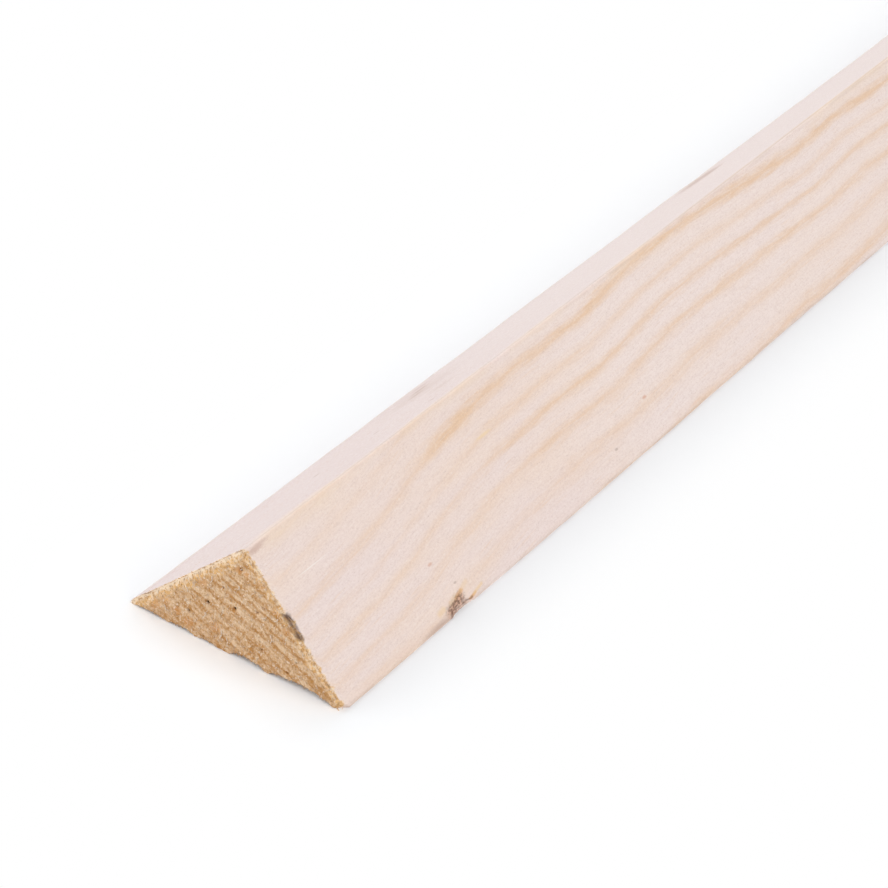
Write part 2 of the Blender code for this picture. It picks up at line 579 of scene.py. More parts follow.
# %% Press in the break-outs, the bruise and the chips
def worn(along, across, up):
    """The place moved by the break-outs, the chips and the bruise."""
    if along < BREAK_OUT_REACH and up < BREAK_OUT_FADE:
        up += break_out(along, across) * (1.0 - up / BREAK_OUT_FADE) ** 2
    down_leg = (SHARP - up) * math.sqrt(2.0)
    if across < 0.0:
        middle, half_run, depth, reach = PITCH_STREAK
        share = (down_leg - middle) / half_run
        from_leg = (SHARP + across - up) / math.sqrt(2.0)
        crumble = dome(share, along / reach, from_leg / (1.6 * depth))
        crumble *= 1.0 + 0.5 * rough((along, down_leg, 0.0), 0.5, 2.0)
        along += 0.7 * reach * crumble
        inward = depth * crumble
        inward += toe_chip(KNOT, along, LEG - down_leg) if from_leg < 0.8 else 0.0
        across += inward / math.sqrt(2.0)
        up = max(up - inward / math.sqrt(2.0), 0.0) if up > 0.0 else up
    elif abs(along - LEFT_CHIP[0]) < 2.0 * LEFT_CHIP[1]:
        inward = toe_chip(LEFT_CHIP, along, LEG - down_leg)
        across -= inward / math.sqrt(2.0)
    corner = Vector((0.0, -HALF_WIDTH, 0.0))
    beyond = (Vector((along, across, up)) - corner).dot(BRUISE_OUTWARD) + BRUISE_DEPTH
    if beyond > 0.0:
        beyond *= 1.0 - 0.2 * rough((along, across, up), 0.5, 8.0)
        along, across, up = Vector((along, across, up)) - beyond * BRUISE_OUTWARD
    return along, across, max(up, 0.0)


print("bruised corner moved to", [round(value, 2) for value in worn(0.0, -HALF_WIDTH, 0.0)])

# %% [markdown]
# ## Torn fibres of the sawn end
#
# Between the late wood stripes the saw pulled the fibres down and out. The relief of the end is
# built from lumps stretched down the face, finer tears, low ridges on the rings and a few named
# pits. Bump alone would leave the outline of the end straight, so the relief moves the points
# themselves. Around the rim the fibres break back unevenly, which gives the ragged edge against
# the planed faces.

# %% Shape the torn end
PITS = (
    (5.0, 6.5, 0.33, 0.9),
    (7.9, 3.6, 0.28, 0.6),
    (0.7, 7.6, 0.32, 0.6),
    (-3.9, 3.3, 0.24, 0.6),
    (-8.2, 1.7, 0.26, 0.6),
    (2.6, 10.1, 0.18, 0.5),
    (-2.8, 8.8, 0.20, 0.5),
    (0.3, 14.1, 0.34, 0.45),
)  # across, up, half size and depth
TEAR_STRETCH = 2.2  # how much longer the tears are than wide
TEAR_SLANT = 0.25
RIM_DEPTH = 0.34
RIM_REACH = 1.6
TOOTH_SIZE = 1.15


def torn_relief(across, up):
    """How deep the sawn end lies here. Below 0 it stands proud."""
    drawn = (across + TEAR_SLANT * up, up / TEAR_STRETCH, 0.0)
    depth = 0.035 * rough(drawn, 0.9, 1.0)
    depth += 0.09 * abs(rough(drawn, 0.42, 5.0)) - 0.025
    depth += 0.03 * rough((across, up, 0.0), 0.36, 7.0)
    depth += 0.08 * rough((across, up, 0.0), 5.0, 2.0)
    depth -= 0.035 * math.cos(2.0 * math.pi * ring_number(0.0, across, up))
    for middle, height, size, sunk in PITS:
        share = math.hypot(across - middle, up - height) / size
        depth += sunk * math.exp(-2.0 * share**4)
    return depth


def rim_break(around):
    """How far the fibres broke back at the rim, at this distance round the outline."""
    teeth = abs(rough((around, 0.0, 0.0), TOOTH_SIZE, 3.0))
    return RIM_DEPTH * (0.25 + teeth + 0.3 * rough((around, 0.0, 0.0), 2.4, 5.0))


def tear_reach(around):
    """How far the torn, golden fibres reach in over the planed faces."""
    teeth = max(0.0, rough((around, 0.0, 0.0), TOOTH_SIZE, 3.0))
    return 0.2 + 1.8 * teeth + 0.26 * rough((around, 0.0, 0.0), 0.35, 8.0)


print(f"pits: {len(PITS)}, deepest {max(pit[3] for pit in PITS)} mm")

# %% [markdown]
# ## Handling marks on the long faces
#
# Planed softwood isn't quite flat. The faces carry slow waves of a few hundredths of a
# millimetre, and the thin edges wander inwards by a tenth or two. The photo also shows the strip
# a millimetre narrower a hand's span from the end than at it, as a saw that wanders leaves
# it. Everything moves inwards, because the solid's box is the largest that the strip may be.

# %% Wave the long faces
EDGE_WANDER = 0.16
FACE_WAVE = 0.035
RIDGE_DENT = 0.06
NARROWING = 0.47  # on each side
NARROWS_FROM = 60.0
NARROWS_TO = 200.0


def planed(along, across, up):
    """The place moved by the slow waves of the faces, the narrowing and the wandering edges."""
    near_toe = ease((abs(across) - HALF_WIDTH + 1.2) / 1.2)
    side = math.copysign(1.0, across)
    wander = 0.5 + 0.5 * rough((along, 40.0 * side, 0.0), 17.0)
    wander += 0.35 * rough((along, 40.0 * side, 0.0), 3.5, 2.0)
    across -= side * EDGE_WANDER * near_toe * held(wander)
    narrows = held((along - NARROWS_FROM) / (NARROWS_TO - NARROWS_FROM))
    across *= 1.0 - narrows * NARROWING / HALF_WIDTH
    if up > TOE_BLUNT / 2.0:
        sink = FACE_WAVE * (0.5 + 0.5 * rough((along / 6.0, across, up), 6.0, 4.0))
        near_ridge = ease(1.0 - abs(across) / 0.8)
        sink += RIDGE_DENT * near_ridge * held(rough((along, 0.0, 0.0), 4.0, 6.0) * 2.0)
        up -= sink * (1.0 - near_toe)
    return along, across, up


print(f"thin edges wander by up to {EDGE_WANDER} mm")

# %% [markdown]
# ## One closed mesh, finest at the sawn end
#
# A strip a metre long can't be fine everywhere. Its rows start an eighth of a millimetre apart at
# the sawn end and widen with distance, and the outline drops points as they do. Where two rows
# have different numbers of points they are joined like a zip: whichever row lags behind round
# the outline takes the next step. Dense remeshing would spend most of its faces where nothing
# can be seen.

# %% Lay out the rows
PIECE_RUN = LENGTH / 3.0  # the bake's map cuts the strip into three lengths
PLAIN_END_PITCH = 0.45
STRETCHES = (
    (0.0, 1.5, 0.12, 0.26, END_PITCH, 0.0),
    (1.5, 8.0, 0.3, 0.6, 0.36, 0.3),
    (8.0, 25.0, 0.7, 1.1, 0.8, CROWD),
    (25.0, 31.5, 0.35, 0.35, 0.8, CROWD),
    (31.5, 240.0, 1.1, 1.5, 0.8, CROWD),
    (240.0, PIECE_RUN, 2.0, 3.0, 1.3, CROWD),
    (PIECE_RUN, 2.0 * PIECE_RUN, 3.5, 3.5, 1.3, CROWD),
    (2.0 * PIECE_RUN, LENGTH - 4.0, 3.5, 3.5, 1.3, CROWD),
    (LENGTH - 4.0, LENGTH, 1.0, 0.5, 0.6, 0.3),
)  # start and end, first and last step between rows, pitch round the outline and crowding


def steps_between(start, end, first, last):
    """Places from start up to, but without, end, with the step growing from first to last."""
    places = []
    place = start
    while place < end - 0.4 * first:
        places.append(place)
        place += first + (last - first) * (place - start) / (end - start)
    return places


def row_plan():
    """(along, outline pitch, crowding) for each row."""
    plan = []
    for start, end, first, last, pitch, crowd in STRETCHES:
        plan += [(place, pitch, crowd) for place in steps_between(start, end, first, last)]
    return plan + [(LENGTH, PLAIN_END_PITCH, 0.0)]


print(f"{len(row_plan())} rows from the sawn end to the plain end")

# %% [markdown]
# ## Vertices, faces and the bake's map
#
# The mesh is gathered in lists first: the place of each point, how much it belongs to the torn
# end, how deep it lies there, and for each corner of a face its place on a flat map. The map
# unrolls the strip in three lengths and gives the two ends more room than their size, so that
# a baked picture of the finish keeps the fine end grain.

# %% Gather points and faces
MAP_MARGIN = 2.0
MAP_GAP = 3.0  # between the three lengths
MAP_SCALE = 1.0 / (PIECE_RUN + 2.0 * MAP_MARGIN)
END_SCALE = 0.195 / SHARP
END_BASE = 0.795
SAWN_END_ON_MAP = 0.01
PLAIN_END_ON_MAP = 0.50


class Strip:
    """The growing mesh."""

    def __init__(self):
        self.points = []
        self.sawn = []
        self.depth = []
        self.faces = []
        self.corners = []

    def add_point(self, place, sawn, depth):
        self.points.append(in_world(*place))
        self.sawn.append(sawn)
        self.depth.append(depth)
        return len(self.points) - 1

    def add_face(self, points, places_on_map):
        self.faces.append(points)
        self.corners.extend(places_on_map)

    def side_map(self, along, around, middle):
        """The place on the map of a point of the long faces, in the length that middle is in."""
        length = min(int(middle / PIECE_RUN), 2)
        across_map = (along - length * PIECE_RUN + MAP_MARGIN) * MAP_SCALE
        return across_map, (around + MAP_MARGIN + length * (PERIMETER + MAP_GAP)) * MAP_SCALE

    def end_map(self, across, up, shift):
        return shift + (across + HALF_WIDTH) * END_SCALE, END_BASE + up * END_SCALE


print(f"a map 1024 pixels wide holds the strip at {1.0 / (MAP_SCALE * 1024):.2f} mm to a pixel")

# %% [markdown]
# ## One row of points
#
# Each point of a row is worn, then waved, and near the sawn end it also sinks with the torn
# relief and breaks back with the rim. It keeps two values for the finish: how much it belongs
# to the torn end, and how deep it lies there. A displacement modifier could move the points too,
# but it would leave no such values behind.

# %% Place the points of a row
def place_on_side(along, around, across, up):
    """The finished place of a point of the long faces, with its two wear values."""
    depth = 0.0
    sawn = 0.0
    moved = planed(*worn(along, across, up))
    if along < RIM_REACH:
        fade = 1.0 - along / RIM_REACH
        depth = torn_relief(across, up) * fade**3
        shift = (rim_break(around) + depth) * fade
        moved = (moved[0] + shift, moved[1], moved[2])
        sawn = held((tear_reach(around) - along) / 0.15 + 0.5)
    return moved, sawn, depth


def add_row(strip, along, pitch, crowd):
    """One row as (how far round, point) pairs."""
    row = []
    for around, across, up in outline(pitch, crowd):
        place, sawn, depth = place_on_side(along, around, across, up)
        row.append((around, strip.add_point(place, sawn, depth)))
    return row


COUNTS = [len(outline(pitch, crowd)) for _, pitch, crowd in row_plan()]
print(f"rows of {min(COUNTS)} to {max(COUNTS)} points")

# %% [markdown]
# ## Joining the rows
#
# Two neighbouring rows that have the same number of points are joined by four-sided faces. Where
# the numbers differ, triangles take up the difference, so no point is left without a neighbour
# and the strip has no crack. Bridging edge loops by hand would do the same for one pair of rows,
# but here there are more than four hundred.

# %% Zip neighbouring rows together
def closed_row(row):
    """The row with its first point again at the end, once round the outline."""
    return row + [(PERIMETER, row[0][1])]


def zip_rows(strip, near, far, near_along, far_along):
    """Join two rows, taking a step on whichever lags behind."""
    near_row = closed_row(near)
    far_row = closed_row(far)
    middle = (near_along + far_along) / 2.0
    i = 0
    j = 0

    def corner(row, index, along):
        return strip.side_map(along, row[index][0], middle)

    while i < len(near_row) - 1 or j < len(far_row) - 1:
        both = len(near_row) == len(far_row)
        here = [near_row[i][1], far_row[j][1]]
        place = [corner(near_row, i, near_along), corner(far_row, j, far_along)]
        if both:
            after = [far_row[j + 1][1], near_row[i + 1][1]]
            place += [corner(far_row, j + 1, far_along), corner(near_row, i + 1, near_along)]
            strip.add_face(here + after, place)
            i += 1
            j += 1
        elif j == len(far_row) - 1 or (
            i < len(near_row) - 1 and near_row[i + 1][0] <= far_row[j + 1][0]
        ):
            place.append(corner(near_row, i + 1, near_along))
            strip.add_face(here + [near_row[i + 1][1]], place)
            i += 1
        else:
            place.append(corner(far_row, j + 1, far_along))
            strip.add_face(here + [far_row[j + 1][1]], place)
            j += 1


UNEVEN = sum(near != far for near, far in zip(COUNTS, COUNTS[1:]))
print(f"{UNEVEN} of {len(COUNTS) - 1} pairs of rows differ in their number of points")

# %% [markdown]
# ## Points inside the two ends
#
# Each end gets an even field of points inside the outline of its last row, a sixth of a
# millimetre apart on the sawn end and coarser on the far one. The far end isn't in the photo,
# so it is a plain, square cut with the shallow marks of a fine saw. A flat face would be
# lighter, but it could carry no relief.

# %% Lay points inside the section
SAWN_END_SPACING = 0.165
PLAIN_END_SPACING = 0.42
PLAIN_SAW_MARK = 0.03
PLAIN_SAW_PITCH = 1.4


def inside_points(pitch):
    """A field of points inside the section, set off row by row."""
    lift = pitch * math.sqrt(3.0) / 2.0
    gap = 0.75 * pitch
    places = []
    level = 0
    up = gap
    while up < SHARP - 2.0 * gap:
        reach = min(SHARP - up - 1.5 * gap, HALF_WIDTH - gap)
        across = -reach + (0.5 * pitch if level % 2 else 0.0)
        while across <= reach:
            places.append((across, up))
            across += pitch
        level += 1
        up += lift
    return places


def plain_relief(across, up):
    """The plain end: shallow saw marks and a little fuzz."""
    marks = math.sin(2.0 * math.pi * (up + 0.35 * across) / PLAIN_SAW_PITCH)
    return PLAIN_SAW_MARK * (marks + rough((across, up, 0.0), 0.7, 3.0))


print(f"{len(inside_points(SAWN_END_SPACING))} points inside the sawn end")

# %% [markdown]
# ## Filling the ends
#
# The Delaunay routine joins the points to well-shaped triangles that meet the row round them
# point for point, so the strip stays closed. A fan or a grid fill would leave slivers, and
# slivers shade badly once the relief moves them.

# %% Fill the ends
INSIDE_ONLY = 1  # Delaunay's code for leaving out triangles beyond the outline
MERGE_WITHIN = 1e-6


def fill_end(strip, row, pitch, crowd, spacing, at_sawn_end):
    """Close one end with triangles."""
    ring = outline(pitch, crowd)
    flat = [Vector((across, up)) for _, across, up in ring]
    edges = [(index, (index + 1) % len(flat)) for index in range(len(flat))]
    inner = [Vector(place) for place in inside_points(spacing)]
    made = delaunay_2d_cdt(flat + inner, edges, [], INSIDE_ONLY, MERGE_WITHIN, True)
    places, _, triangles, origins = made[:4]
    numbers = []
    for place, origin in zip(places, origins):
        if origin and origin[0] < len(row):
            numbers.append(row[origin[0]][1])
            continue
        across, up = place
        if at_sawn_end:
            relief = torn_relief(across, up)
            edge_fade = ease((SHARP - abs(across) - up) / 0.9)
            spot = worn(relief + (1.0 - edge_fade) * 0.12, across, up)
            numbers.append(strip.add_point(spot, 1.0, relief))
        else:
            relief = plain_relief(across, up)
            numbers.append(strip.add_point((LENGTH - abs(relief), across, up), 1.0, relief))
    shift = SAWN_END_ON_MAP if at_sawn_end else PLAIN_END_ON_MAP
    for triangle in triangles:
        a, b, c = (places[index] for index in triangle)
        if ((b - a).cross(c - a) > 0.0) == at_sawn_end:
            triangle = triangle[::-1]
        spots = [strip.end_map(*places[index], shift) for index in triangle]
        strip.add_face([numbers[index] for index in triangle], spots)


def build_strip():
    """The whole strip as lists of points and faces."""
    strip = Strip()
    plan = row_plan()
    rows = [add_row(strip, *row) for row in plan]
    for index in range(len(rows) - 1):
        zip_rows(strip, rows[index], rows[index + 1], plan[index][0], plan[index + 1][0])
    fill_end(strip, rows[0], plan[0][1], plan[0][2], SAWN_END_SPACING, True)
    fill_end(strip, rows[-1], plan[-1][1], plan[-1][2], PLAIN_END_SPACING, False)
    return strip


STRIP = build_strip()
print(f"{len(STRIP.points)} points, {len(STRIP.faces)} faces")

# %% [markdown]
# ## From lists to an object
#
# The lists become one Blender mesh. The wear values go on as attributes, which the finish reads
# by name, and edges that turn sharply stay sharp while the rest is shaded smooth.

# %% Make the strip's object
SHARP_ANGLE = math.radians(50.0)


def mesh_object(name, points, faces):
    mesh = bpy.data.meshes.new(name)
    mesh.from_pydata(points, [], faces)
    mesh.shade_smooth()
    return add_object(name, mesh)


def add_values(mesh, name, values):
    attribute = mesh.attributes.new(name, "FLOAT", "POINT")
    attribute.data.foreach_set("value", values)


def make_wood():
    wood = mesh_object("softwood_strip", STRIP.points, STRIP.faces)
    mesh = wood.data
    mesh.set_sharp_from_angle(angle=SHARP_ANGLE)
    add_values(mesh, "sawn", STRIP.sawn)
    add_values(mesh, "depth", STRIP.depth)
    flat_map = mesh.uv_layers.new(name="OFBake")
    flat_map.data.foreach_set("uv", [number for corner in STRIP.corners for number in corner])
    mesh.validate()
    return wood


WOOD = make_wood()
WOOD.data.calc_loop_triangles()
print(f"{WOOD.name}: {len(WOOD.data.loop_triangles)} triangles")

# %% [markdown]
# ## Splinters and fuzz
#
# The saw leaves loose ends of fibre all over the torn end. Hair would be the usual way to show
# them, but hair isn't a mesh and is lost in an export. Each splinter is a closed three-sided
# sliver, thick at its root and running out to a point.

# %% Shape one splinter
SPLINTER_SEED = 7


class Splinters:
    """The growing mesh of all splinters."""

    def __init__(self):
        self.points = []
        self.faces = []
        self.tones = []

    def add(self, root, way, out, length, width, tone):
        """One splinter from root along way, arching towards out."""
        way = way.normalized()
        side = way.cross(out).normalized()
        first = len(self.points)
        for share, scale in ((0.0, 1.0), (0.55, 0.8)):
            lift = out * (0.06 * length * math.sin(math.pi * share))
            centre = root + way * (length * share) + lift
            thick = 0.5 * width * scale
            for across, high in ((-1.0, -0.4), (1.0, -0.4), (0.0, 0.6)):
                self.points.append(in_world(*(centre + side * across * thick + out * high * thick)))
        self.points.append(in_world(*(root + way * length)))
        a, b, c, d, e, f, tip = range(first, first + 7)
        self.faces += [(a, c, b), (a, b, e, d), (b, c, f, e), (c, a, d, f)]
        self.faces += [(d, e, tip), (e, f, tip), (f, d, tip)]
        self.tones += [tone] * 7


OUT_OF_END = Vector((-1.0, 0.0, 0.0))
print("the splinters are drawn from seed", SPLINTER_SEED)

# %% [markdown]
# ## Fibres on the face of the end
#
# Most of the fibres lie on the end and point down, the way that the teeth went. They are
# scattered by dice with a fixed seed, so every run gives the same ones. Blender could scatter
# them by Geometry Nodes as well, but here a fibre has to know the rings, the broken lower edge
# and the crumbled streak, where no fibre is left.

# %% Scatter fibres on the end
FACE_SPLINTERS = 2400
FLOOR_GAP = 0.03


def in_pitch_streak(across, up):
    """Whether this place on the end lies in the crumbled streak, where no fibre is left."""
    middle, half_run, depth, _ = PITCH_STREAK
    from_leg = (SHARP + across - up) / math.sqrt(2.0)
    return abs((SHARP - up) * math.sqrt(2.0) - middle) < half_run and from_leg < 2.0 * depth


def lay_face_splinters(made, dice):
    """Torn fibres lying on the end, most of them pulled downwards."""
    count = 0
    while count < FACE_SPLINTERS:
        across = dice.uniform(-SHARP, SHARP)
        up = dice.uniform(0.0, SHARP)
        if abs(across) + up > SHARP - 0.25 or up < break_out(0.0, across) + 0.1:
            continue
        if in_pitch_streak(across, up):
            continue
        count += 1
        swing = dice.gauss(-0.35, 0.75)
        way = Vector((-dice.uniform(0.0, 0.1), math.sin(swing), -math.cos(swing)))
        length = dice.uniform(0.2, 0.6) * (1.6 if dice.random() < 0.10 else 1.0)
        length = min(length, up - FLOOR_GAP)
        width = dice.uniform(0.06, 0.13) * (1.7 if dice.random() < 0.08 else 1.0)
        root = Vector((torn_relief(across, up) + 0.02, across, up))
        dark = math.cos(2.0 * math.pi * ring_number(0.0, across, up))
        made.add(root, way, OUT_OF_END, length, width, held(dice.random() - 0.25 * dark))


print(f"{FACE_SPLINTERS} fibres for the face of the end")

# %% [markdown]
# ## Pale curls
#
# Ten longer, pale fibres curl off the end and catch the eye in the photo. They are placed one
# by one, each from two straight splinters that meet at a slight bend. A curve would bend more
# smoothly, but at a millimetre long nobody can tell.

# %% Lay the pale curls
CURLS = (
    (-4.3, 8.9, 60.0, 1.0),
    (-5.1, 6.4, -10.0, 1.4),
    (2.5, 3.2, 5.0, 1.5),
    (1.6, 2.4, -15.0, 1.1),
    (0.2, 11.6, 20.0, 0.8),
    (-6.1, 9.5, 40.0, 0.9),
    (8.6, 7.3, -30.0, 0.9),
    (5.2, 4.8, 12.0, 1.0),
    (4.6, 11.0, 4.0, 1.2),
    (11.7, 2.6, -20.0, 0.8),
)  # across, up, turn from straight down in degrees and length of each pale curl


def lay_curls(made):
    """A few longer, pale fibres that curl off the end."""
    for across, up, turn, length in CURLS:
        swing = math.radians(turn)
        root = Vector((torn_relief(across, up) - 0.02, across, up))
        for share, bend in ((0.0, -0.35), (0.5, 0.35)):
            way = Vector((-0.08, math.sin(swing + bend), -math.cos(swing + bend)))
            made.add(root, way, OUT_OF_END, 0.6 * length, 0.2 * (1.0 - 0.5 * share), 1.0)
            root = root + 0.5 * length * way


print(f"{len(CURLS)} pale curls")

# %% [markdown]
# ## Fibres on the rim and the lower edge
#
# Where the end meets the planed faces, short golden fibres break out over the arris. Others hang
# from the broken lower edge, and none reaches the floor. They soften the outline of the end,
# which relief alone would leave hard.

# %% Lay fibres on the rim and the lower edge
RIM_SPLINTERS = 420
EDGE_SPLINTERS = 420


def lay_rim_splinters(made, dice):
    """Short golden fibres that break out over both leg faces."""
    for _ in range(RIM_SPLINTERS):
        side = dice.choice((-1.0, 1.0))
        down_leg = dice.uniform(0.5, LEG - 1.0)
        across = side * down_leg / math.sqrt(2.0)
        up = SHARP - abs(across)
        if in_pitch_streak(across, up):
            continue
        outward = Vector((0.0, side, 1.0)).normalized()
        root = Vector((0.15, across, up)) - outward * 0.08
        way = Vector((dice.uniform(-0.9, 0.6), 0.0, 0.0)) + outward * dice.uniform(0.05, 0.4)
        way += Vector((0.0, side, -1.0)) * dice.uniform(-0.4, 0.6)
        length = dice.uniform(0.15, 0.45)
        made.add(root, way, outward, length, dice.uniform(0.05, 0.12), dice.uniform(0.0, 0.5))


def lay_edge_splinters(made, dice):
    """Fibres that hang from the broken lower edge."""
    for _ in range(EDGE_SPLINTERS):
        across = dice.uniform(-HALF_WIDTH + 0.8, HALF_WIDTH - 0.3)
        rise = break_out(0.0, across)
        if rise < 0.08:
            continue
        root = Vector((dice.uniform(0.0, 0.4), across, rise + 0.08))
        way = Vector((dice.uniform(-0.5, 0.3), dice.uniform(-0.5, 0.5), -1.0))
        length = min(dice.uniform(0.15, 0.5), 0.8 * rise)
        made.add(root, way, OUT_OF_END, length, dice.uniform(0.05, 0.12), dice.uniform(0.1, 0.8))


def make_splinters():
    dice = random.Random(SPLINTER_SEED)
    made = Splinters()
    lay_face_splinters(made, dice)
    lay_curls(made)
    lay_rim_splinters(made, dice)
    lay_edge_splinters(made, dice)
    splinters = mesh_object("torn_fibres", made.points, made.faces)
    add_values(splinters.data, "tone", made.tones)
    return splinters


SPLINTERS = make_splinters()
print(f"{SPLINTERS.name}: {len(SPLINTERS.data.polygons)} faces")

# %% [markdown]
# ## Reading the place in the finish
#
# The finish works in the same millimetres as the mesh. It reads the object's own coordinates,
# which move with the piece, and turns them into `along`, `across` and `up`. Grain noise is
# stretched along the strip by dividing each direction by the size of its lumps. Streaks of fibre
# read the ring radius in place of `across` and `up`, and so they rise and sink with the rings.
#
# In the cells below, `grain` and `fibre` take the length and the thickness of their lumps in
# millimetres, and then a seed, which moves the pattern so that no two layers are alike.

# %% Signals for the place and the grain
LEG_SLANT = 0.45  # how much the ring radius changes for a step down the right leg


class Place:
    """The point being shaded, in millimetres on the strip."""

    def __init__(self, tree):
        self.tree = tree
        coordinates = tree.add("ShaderNodeTexCoord")["Object"]
        parts = tree.add("ShaderNodeSeparateXYZ", sockets={"Vector": coordinates})
        self.along = parts["X"] / MM - LOW.x / MM
        self.across = parts["Y"] / MM
        self.up = parts["Z"] / MM
        self.radius = ring_radius(self.along, self.across, self.up)
        self.number = read_off(self.radius, RINGS)

    def noise(self, vector, detail, roughness):
        """Noise from 0 to 1, with its mean near a half."""
        sockets = {"Vector": vector, "Scale": 1.0, "Detail": detail, "Roughness": roughness}
        return self.tree.add("ShaderNodeTexNoise", sockets=sockets)["Fac"]

    def stretched(self, run, thick, seed):
        """A vector in which lumps of this size along and across the grain have size one."""
        parts = {
            "X": self.along / run + seed,
            "Y": self.across / thick + 2.7 * seed,
            "Z": self.up / thick - 1.3 * seed,
        }
        return self.tree.add("ShaderNodeCombineXYZ", sockets=parts)["Vector"]

    def grain(self, run, thick, seed=0.0, detail=2.0, roughness=0.5):
        """Lumps of this size that lie along the strip."""
        return self.noise(self.stretched(run, thick, seed), detail, roughness)

    def fibre(self, run, thick, seed=0.0, detail=2.0, roughness=0.5):
        """Streaks that follow the rings up and down. thick is their width on the right face."""
        parts = {
            "X": self.along / run + seed,
            "Y": (self.radius - MIDDLE_RADIUS) / (thick * LEG_SLANT) + 2.7 * seed,
            "Z": seed,
        }
        vector = self.tree.add("ShaderNodeCombineXYZ", sockets=parts)["Vector"]
        return self.noise(vector, detail, roughness)

    def along_ring(self, thick, run, seed):
        """Lumps on the sawn end, thick across the rings and run along them."""
        sideways = self.across * (PITH_UP / -MIDDLE_RADIUS) + self.up * (PITH_ACROSS / MIDDLE_RADIUS)
        parts = {"X": self.radius / thick, "Y": sideways / run, "Z": self.along + seed}
        vector = self.tree.add("ShaderNodeCombineXYZ", sockets=parts)["Vector"]
        return self.noise(vector, 2.0, 0.5)


print(f"a step of 1 mm down the right leg is {LEG_SLANT} mm of ring radius")

# %% [markdown]
# ## Brushes for marks
#
# Two brushes paint single marks. `spot` lays a round or drawn-out mark with a ragged rim, at a
# place on any face, and `stroke` draws one from place to place on the right leg. Both work in
# millimetres of the object, so a mark stays where it is when the strip moves. A painted picture
# would do that too, but it couldn't be changed by a number.

# %% Spots and strokes
def spot(place, middle, run, radius, ragged=0.0, soft=0.3):
    """A mark round middle: 1 inside, fading out over the soft share of its size."""
    offsets = {
        "X": (place.along - middle[0]) / run,
        "Y": (place.across - middle[1]) / radius,
        "Z": (place.up - middle[2]) / radius,
    }
    away = place.tree.add("ShaderNodeCombineXYZ", sockets=offsets)["Vector"]
    reach = place.tree.add(
        "ShaderNodeVectorMath", {"operation": "LENGTH"}, {0: away}
    )["Value"]
    if ragged:
        reach = reach + (place.grain(0.5 * radius + 0.15, 0.3 * radius + 0.1, 4.0) - 0.5) * ragged
    return ease((1.0 + soft - reach) / (2.0 * soft))


def stroke(place, start, end, half_width, ragged=0.9):
    """A brush stroke on the right leg between two (along, down the leg) places."""
    down_leg = (SHARP - place.up) * math.sqrt(2.0)
    run = end[0] - start[0]
    fall = end[1] - start[1]
    length = math.hypot(run, fall)
    from_start = place.along - start[0]
    below_start = down_leg - start[1]
    passed = (from_start * run + below_start * fall) / length
    aside = (below_start * run - from_start * fall) / length
    over = passed - passed.math("MINIMUM", passed.math("MAXIMUM", passed, 0.0), length)
    reach = (over * over * 0.5 + aside * aside) ** 0.5 / half_width
    reach = reach + (place.grain(0.5, 0.3, 4.0) - 0.5) * ragged
    return ease((1.7 - reach) / 1.4) * ease(place.across / -0.3 - 1.0)


print("brushes ready: spot and stroke")

# %% [markdown]
# ## Layers of colour
#
# A finish is laid on as thin layers, one over the other, as stains are. `blend` lays one on: its
# share says where it shows, and the number that the share is multiplied by is the strength of
# the layer. `peaks` keeps the high part of a noise for such a share: the larger its start, the
# fewer places are left. `ramp` turns a value into another one by way of a drawn curve.

# %% Helpers for layers
def on_leg(along, down_leg, side):
    """A place on a leg face: side is -1 for the right leg and 1 for the left one."""
    sunk = down_leg / math.sqrt(2.0)
    return along, side * sunk, SHARP - sunk


def blend(tree, share, first, second):
    """The first colour where share is 0 and the second where it is 1."""
    sockets = {"Factor_Float": share, "A_Color": first, "B_Color": second}
    return tree.add("ShaderNodeMix", {"data_type": "RGBA"}, sockets)["Result_Color"]


def peaks(noise_value, gain, start):
    """Only the high part of a noise: 0 up to start / gain, and 1 from (start + 1) / gain on."""
    return held(noise_value * gain - start)


def ramp(tree, value, stops):
    """The value read off a grey ramp."""
    colour = tree.add("ShaderNodeValToRGB", {"stops": stops}, {"Fac": value})["Color"]
    return tree.add("ShaderNodeRGBToBW", sockets={"Color": colour})["Val"]


print("half way down the right leg:", [round(value, 2) for value in on_leg(0.0, 0.5 * LEG, -1)])

# %% [markdown]
# ## Bands of late wood
#
# Each ring ends in a thin layer of late wood. Where a planed face cuts it at a flat angle it
# shows as a soft peach band with feathered edges, strong on some rings and faint on others, and
# weakest near the sawn end. The bands come from the ring number, a little wavering, read off a
# ramp, and fine hair streaks break them up. A Wave Texture gives bands too, but they are all
# alike and don't run on from face to face.

# %% Draw the late wood
LATE_STOPS = (
    (0.0, 0.0),
    (0.2, 0.1),
    (0.38, 0.6),
    (0.48, 1.0),
    (0.57, 0.75),
    (0.72, 0.2),
    (0.9, 0.0),
)
WAVER = 0.3  # how far the bands waver, in ring numbers
BAND_START = 56.0  # where along the strip the band of ring 0 starts to grow stronger
BAND_STEP = 4.4  # how much nearer to the sawn end the next ring out does so
BAND_RISE = 12.0
RING_STRENGTH = ((-4, 0.5), (0, 0.8), (1, 0.5), (2, 0.75), (3, 0.75), (4, 0.5), (5, 1.0), (6, 0.4))


